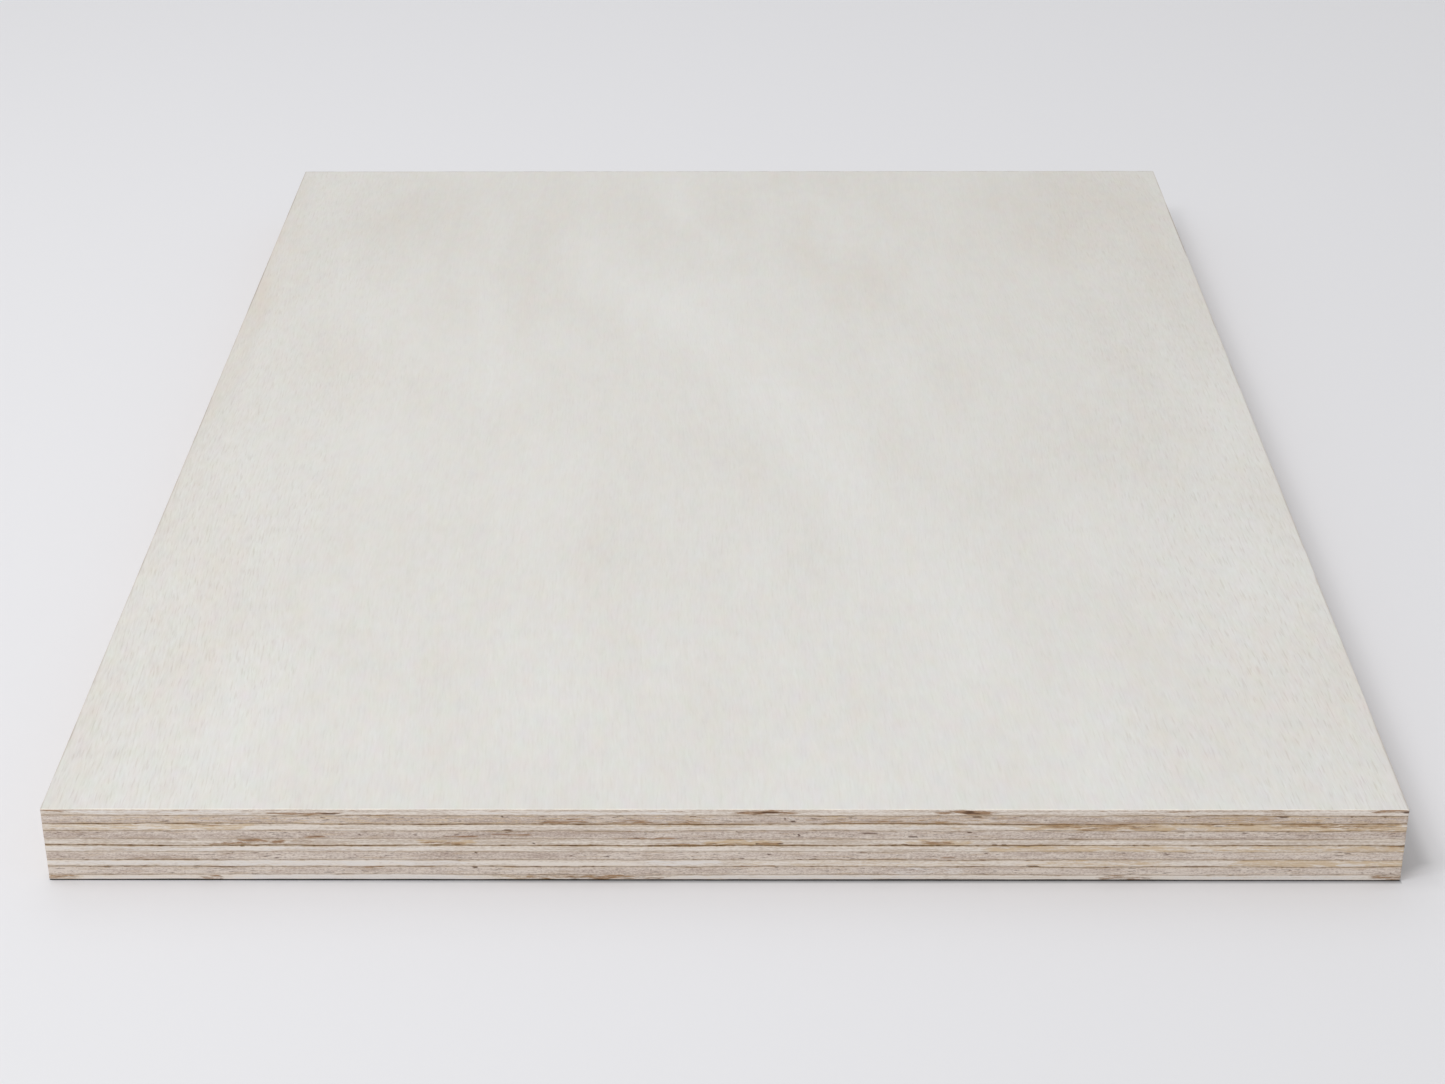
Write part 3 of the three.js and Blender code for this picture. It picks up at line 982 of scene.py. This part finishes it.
def shared_finish(name, make, *details):
    """The material of this name, made the first time it is asked for."""
    return bpy.data.materials.get(name) or make(bpy.context.scene.plywood_colours, name, *details)


def saw_inner(context, names, kind, seed, across):
    """Makes inner veneers of one kind, which share the finish of their edges and of their faces."""
    edge = shared_finish("Sawn edge of a " + kind, edge_finish, seed)
    peeled = shared_finish("Peeled face of a " + kind, peeled_finish, across)
    for name in names:
        saw_veneer(context, name, peeled, edge)


class PLYWOOD_OT_outer_veneers(Operator):
    """Saw and sand the face and back veneers"""

    bl_idname = "plywood.outer_veneers"
    bl_label = "Face and back"

    def execute(self, context):
        edge = shared_finish("Sawn edge of a long ply", edge_finish, LONG_EDGE_SEED)
        for name, finish in zip(OUTER_VENEERS, ("Sanded face", "Sanded back"), strict=True):
            seed = SEED_STEP * LAY_UP.index(name)
            saw_veneer(context, name, shared_finish(finish, sanded_finish, seed), edge)
        return {"FINISHED"}


class PLYWOOD_OT_crossbands(Operator):
    """Saw the veneers whose grain runs across the sheet"""

    bl_idname = "plywood.crossbands"
    bl_label = "Crossbands"

    def execute(self, context):
        saw_inner(context, CROSSBANDS, "crossband", CROSS_EDGE_SEED, True)
        return {"FINISHED"}


class PLYWOOD_OT_long_plies(Operator):
    """Saw the inner veneers whose grain runs the long way of the sheet"""

    bl_idname = "plywood.long_plies"
    bl_label = "Long plies"

    def execute(self, context):
        saw_inner(context, LONG_PLIES, "long ply", LONG_EDGE_SEED, False)
        return {"FINISHED"}


# ---------------------------------------------------------------- the stage

# Soft square lamps: place in metres, side in metres and power in watts. All face the middle
# of the sheet.
LAMPS = {
    "left_key": ((-0.55, -0.5, 1.0), 0.35, 3.03),
    "left_top": ((-0.45, -0.1, 1.1), 0.3, 1.31),
    "overhead": ((-0.2, -0.1, 1.3), 0.5, 1.37),
    "behind": ((-0.3, 1.0, 1.5), 1.2, 2.32),
}
CAMERA_PLACE = (2.895 * MM, -685.959 * MM, 332.754 * MM)
CAMERA_TURN = 0.3532  # degrees to the left of straight ahead
CAMERA_TILT = 27.31  # degrees below level
CAMERA_ROLL = -0.1588  # degrees
FLOOR_REACH = 6.0
FLOOR_FADE = (0.8, 2.6)  # how far off the floor starts, and ends, to turn into the backdrop
BACKDROP = 0.8  # brightness of what lies beyond the floor
CONTACT_SHADOW_WIDTH = 1.3 * MM  # of the contact shadow painted on the floor at the foot of the ends
# of the painted contact shadow along the long sides
SIDE_CONTACT_SHADOW_WIDTH = 0.2 * MM
CONTACT_SHADOW_DEPTH = 0.5  # share of the floor's colour that the painted contact shadow takes away
LEE_WIDTH = 9 * MM  # of the soft shade painted on the floor at the foot of the side that faces away from the light
LEE_SPREAD = 1.3  # how fast that shade widens from either end of the side
LEE_RIM = (-4 * MM, 0.5 * MM)  # where, either side of its outline, it starts to fade and is gone
LEE_DEPTH = 0.25  # share of the floor's colour that the painted shade takes away


def make_camera(scene, lens):
    data = bpy.data.cameras.new("camera")
    data.lens = lens
    data.sensor_width = 36
    camera = bpy.data.objects.new("camera", data)
    turn = Matrix.Rotation(radians(CAMERA_TURN), 4, "Z")
    tilt = Matrix.Rotation(radians(90 - CAMERA_TILT), 4, "X")
    roll = Matrix.Rotation(radians(CAMERA_ROLL), 4, "Z")
    camera.matrix_world = Matrix.Translation(CAMERA_PLACE) @ turn @ tilt @ roll
    scene.collection.objects.link(camera)
    scene.camera = camera


def make_lamps(scene, strength):
    for name, (place, side, power) in LAMPS.items():
        data = bpy.data.lights.new(name, "AREA")
        data.shape = "SQUARE"
        data.size = side
        data.energy = power * strength
        lamp = bpy.data.objects.new(name, data)
        lamp.location = place
        lamp.rotation_euler = (-Vector(place)).to_track_quat("-Z", "Y").to_euler()
        scene.collection.objects.link(lamp)


def in_sight(g):
    """1 for what the camera, a gloss or a glass looks at, and 0 for what only lights."""
    path = g.add("ShaderNodeLightPath").out
    seen = path("Is Camera Ray") + path("Is Glossy Ray") + path("Is Transmission Ray")
    return g.between(seen, 0, 1)


def make_world(scene, ambient):
    """Even light all round, with a pale backdrop for what looks straight at it."""
    world = bpy.data.worlds.new("studio")
    scene.world = world
    world.use_nodes = True
    world.node_tree.nodes.clear()
    g = Graph(world.node_tree)
    strength = g.mix(in_sight(g), ambient, BACKDROP)
    sky = g.add("ShaderNodeBackground", {}, {"Color": (1, 1, 1), "Strength": strength})
    g.add("ShaderNodeOutputWorld", {}, {"Surface": sky})


def make_floor(scene, tint):
    """A pale floor that takes the sheet's shadow, and runs into the backdrop far off.

    Where the sheet meets it, a thin contact shadow is painted into its colour, faint on the side
    the light is from, and a wider soft shade is painted along the side that faces away from the
    light.
    """
    material, g, (x, y, _) = finish_graph("Pale floor", 1.0)
    beside, beyond = abs(x) - WIDTH / 2, abs(y) - LENGTH / 2
    # Painted shadow: the floor's colour is darkened in a thin line round the sheet's foot and in a
    # soft band beside the side away from the light.
    gap = g.maths("MAXIMUM", beside / SIDE_CONTACT_SHADOW_WIDTH, beyond / CONTACT_SHADOW_WIDTH)
    painted_contact_shadow = (1 - g.step(gap, 0.0, 1.0)) * g.step(x, -WIDTH / 2, 0.0) * CONTACT_SHADOW_DEPTH
    outline = g.between(beyond * -LEE_SPREAD, 0.0, LEE_WIDTH)
    painted_lee_shade = (1 - g.step(beside - outline, *LEE_RIM)) * (x > WIDTH / 2)
    base = g.blend(g.maths("MAXIMUM", painted_contact_shadow, painted_lee_shade * LEE_DEPTH), tint, (0, 0, 0))
    sockets = {"Base Color": base, "Roughness": 0.7, "Specular IOR Level": 0.3}
    near = g.add("ShaderNodeBsdfPrincipled", {}, sockets)
    far = g.add("ShaderNodeEmission", {}, {"Color": (1, 1, 1), "Strength": BACKDROP})
    away = g.maths("SQRT", x * x + y * y)
    share = g.step(away, *FLOOR_FADE) * in_sight(g)
    surface = g.add("ShaderNodeMixShader", {}, {"Fac": share, 1: near, 2: far})
    g.add("ShaderNodeOutputMaterial", {}, {"Surface": surface})
    signs = ((-1, -1), (1, -1), (1, 1), (-1, 1))
    corners = [(right * FLOOR_REACH, back * FLOOR_REACH, 0) for right, back in signs]
    mesh = bpy.data.meshes.new("floor")
    mesh.from_pydata(corners, [], [(0, 1, 2, 3)])
    mesh.materials.append(material)
    floor = bpy.data.objects.new("floor", mesh)
    scene.collection.objects.link(floor)


class PLYWOOD_OT_stage(Operator):
    """Set the floor, the soft lamps, the backdrop and the camera"""

    bl_idname = "plywood.stage"
    bl_label = "Stage"

    def execute(self, context):
        scene = context.scene
        settings = scene.plywood_stage
        scene.view_settings.view_transform = "Standard"
        make_camera(scene, settings.lens)
        make_lamps(scene, settings.lamps)
        make_world(scene, settings.ambient)
        make_floor(scene, tuple(settings.floor))
        return {"FINISHED"}


class PLYWOOD_PT_sheet(Panel):
    """The sheet's sizes and colours, and what makes it"""

    bl_label = "Plywood sheet"
    bl_space_type = "VIEW_3D"
    bl_region_type = "UI"
    bl_category = "Plywood"

    def draw(self, context):
        for settings in SETTINGS:
            group = getattr(context.scene, settings)
            for name in SETTINGS[settings].__annotations__:
                self.layout.prop(group, name)
        for operator in OPERATORS:
            self.layout.operator(operator.bl_idname)


SETTINGS = {
    "plywood_shape": SheetShape,
    "plywood_colours": WoodColours,
    "plywood_stage": StageSettings,
}
OPERATORS = (
    PLYWOOD_OT_stage,
    PLYWOOD_OT_outer_veneers,
    PLYWOOD_OT_crossbands,
    PLYWOOD_OT_long_plies,
)
CLASSES = (*SETTINGS.values(), *OPERATORS, PLYWOOD_PT_sheet)


def register():
    for each in CLASSES:
        bpy.utils.register_class(each)
    for name, group in SETTINGS.items():
        setattr(bpy.types.Scene, name, PointerProperty(type=group))


def unregister():
    for name in SETTINGS:
        delattr(bpy.types.Scene, name)
    for each in reversed(CLASSES):
        bpy.utils.unregister_class(each)


def main():
    register()
    for operator in OPERATORS:
        group, name = operator.bl_idname.split(".")
        getattr(getattr(bpy.ops, group), name)()


if __name__ == "__main__":
    main()
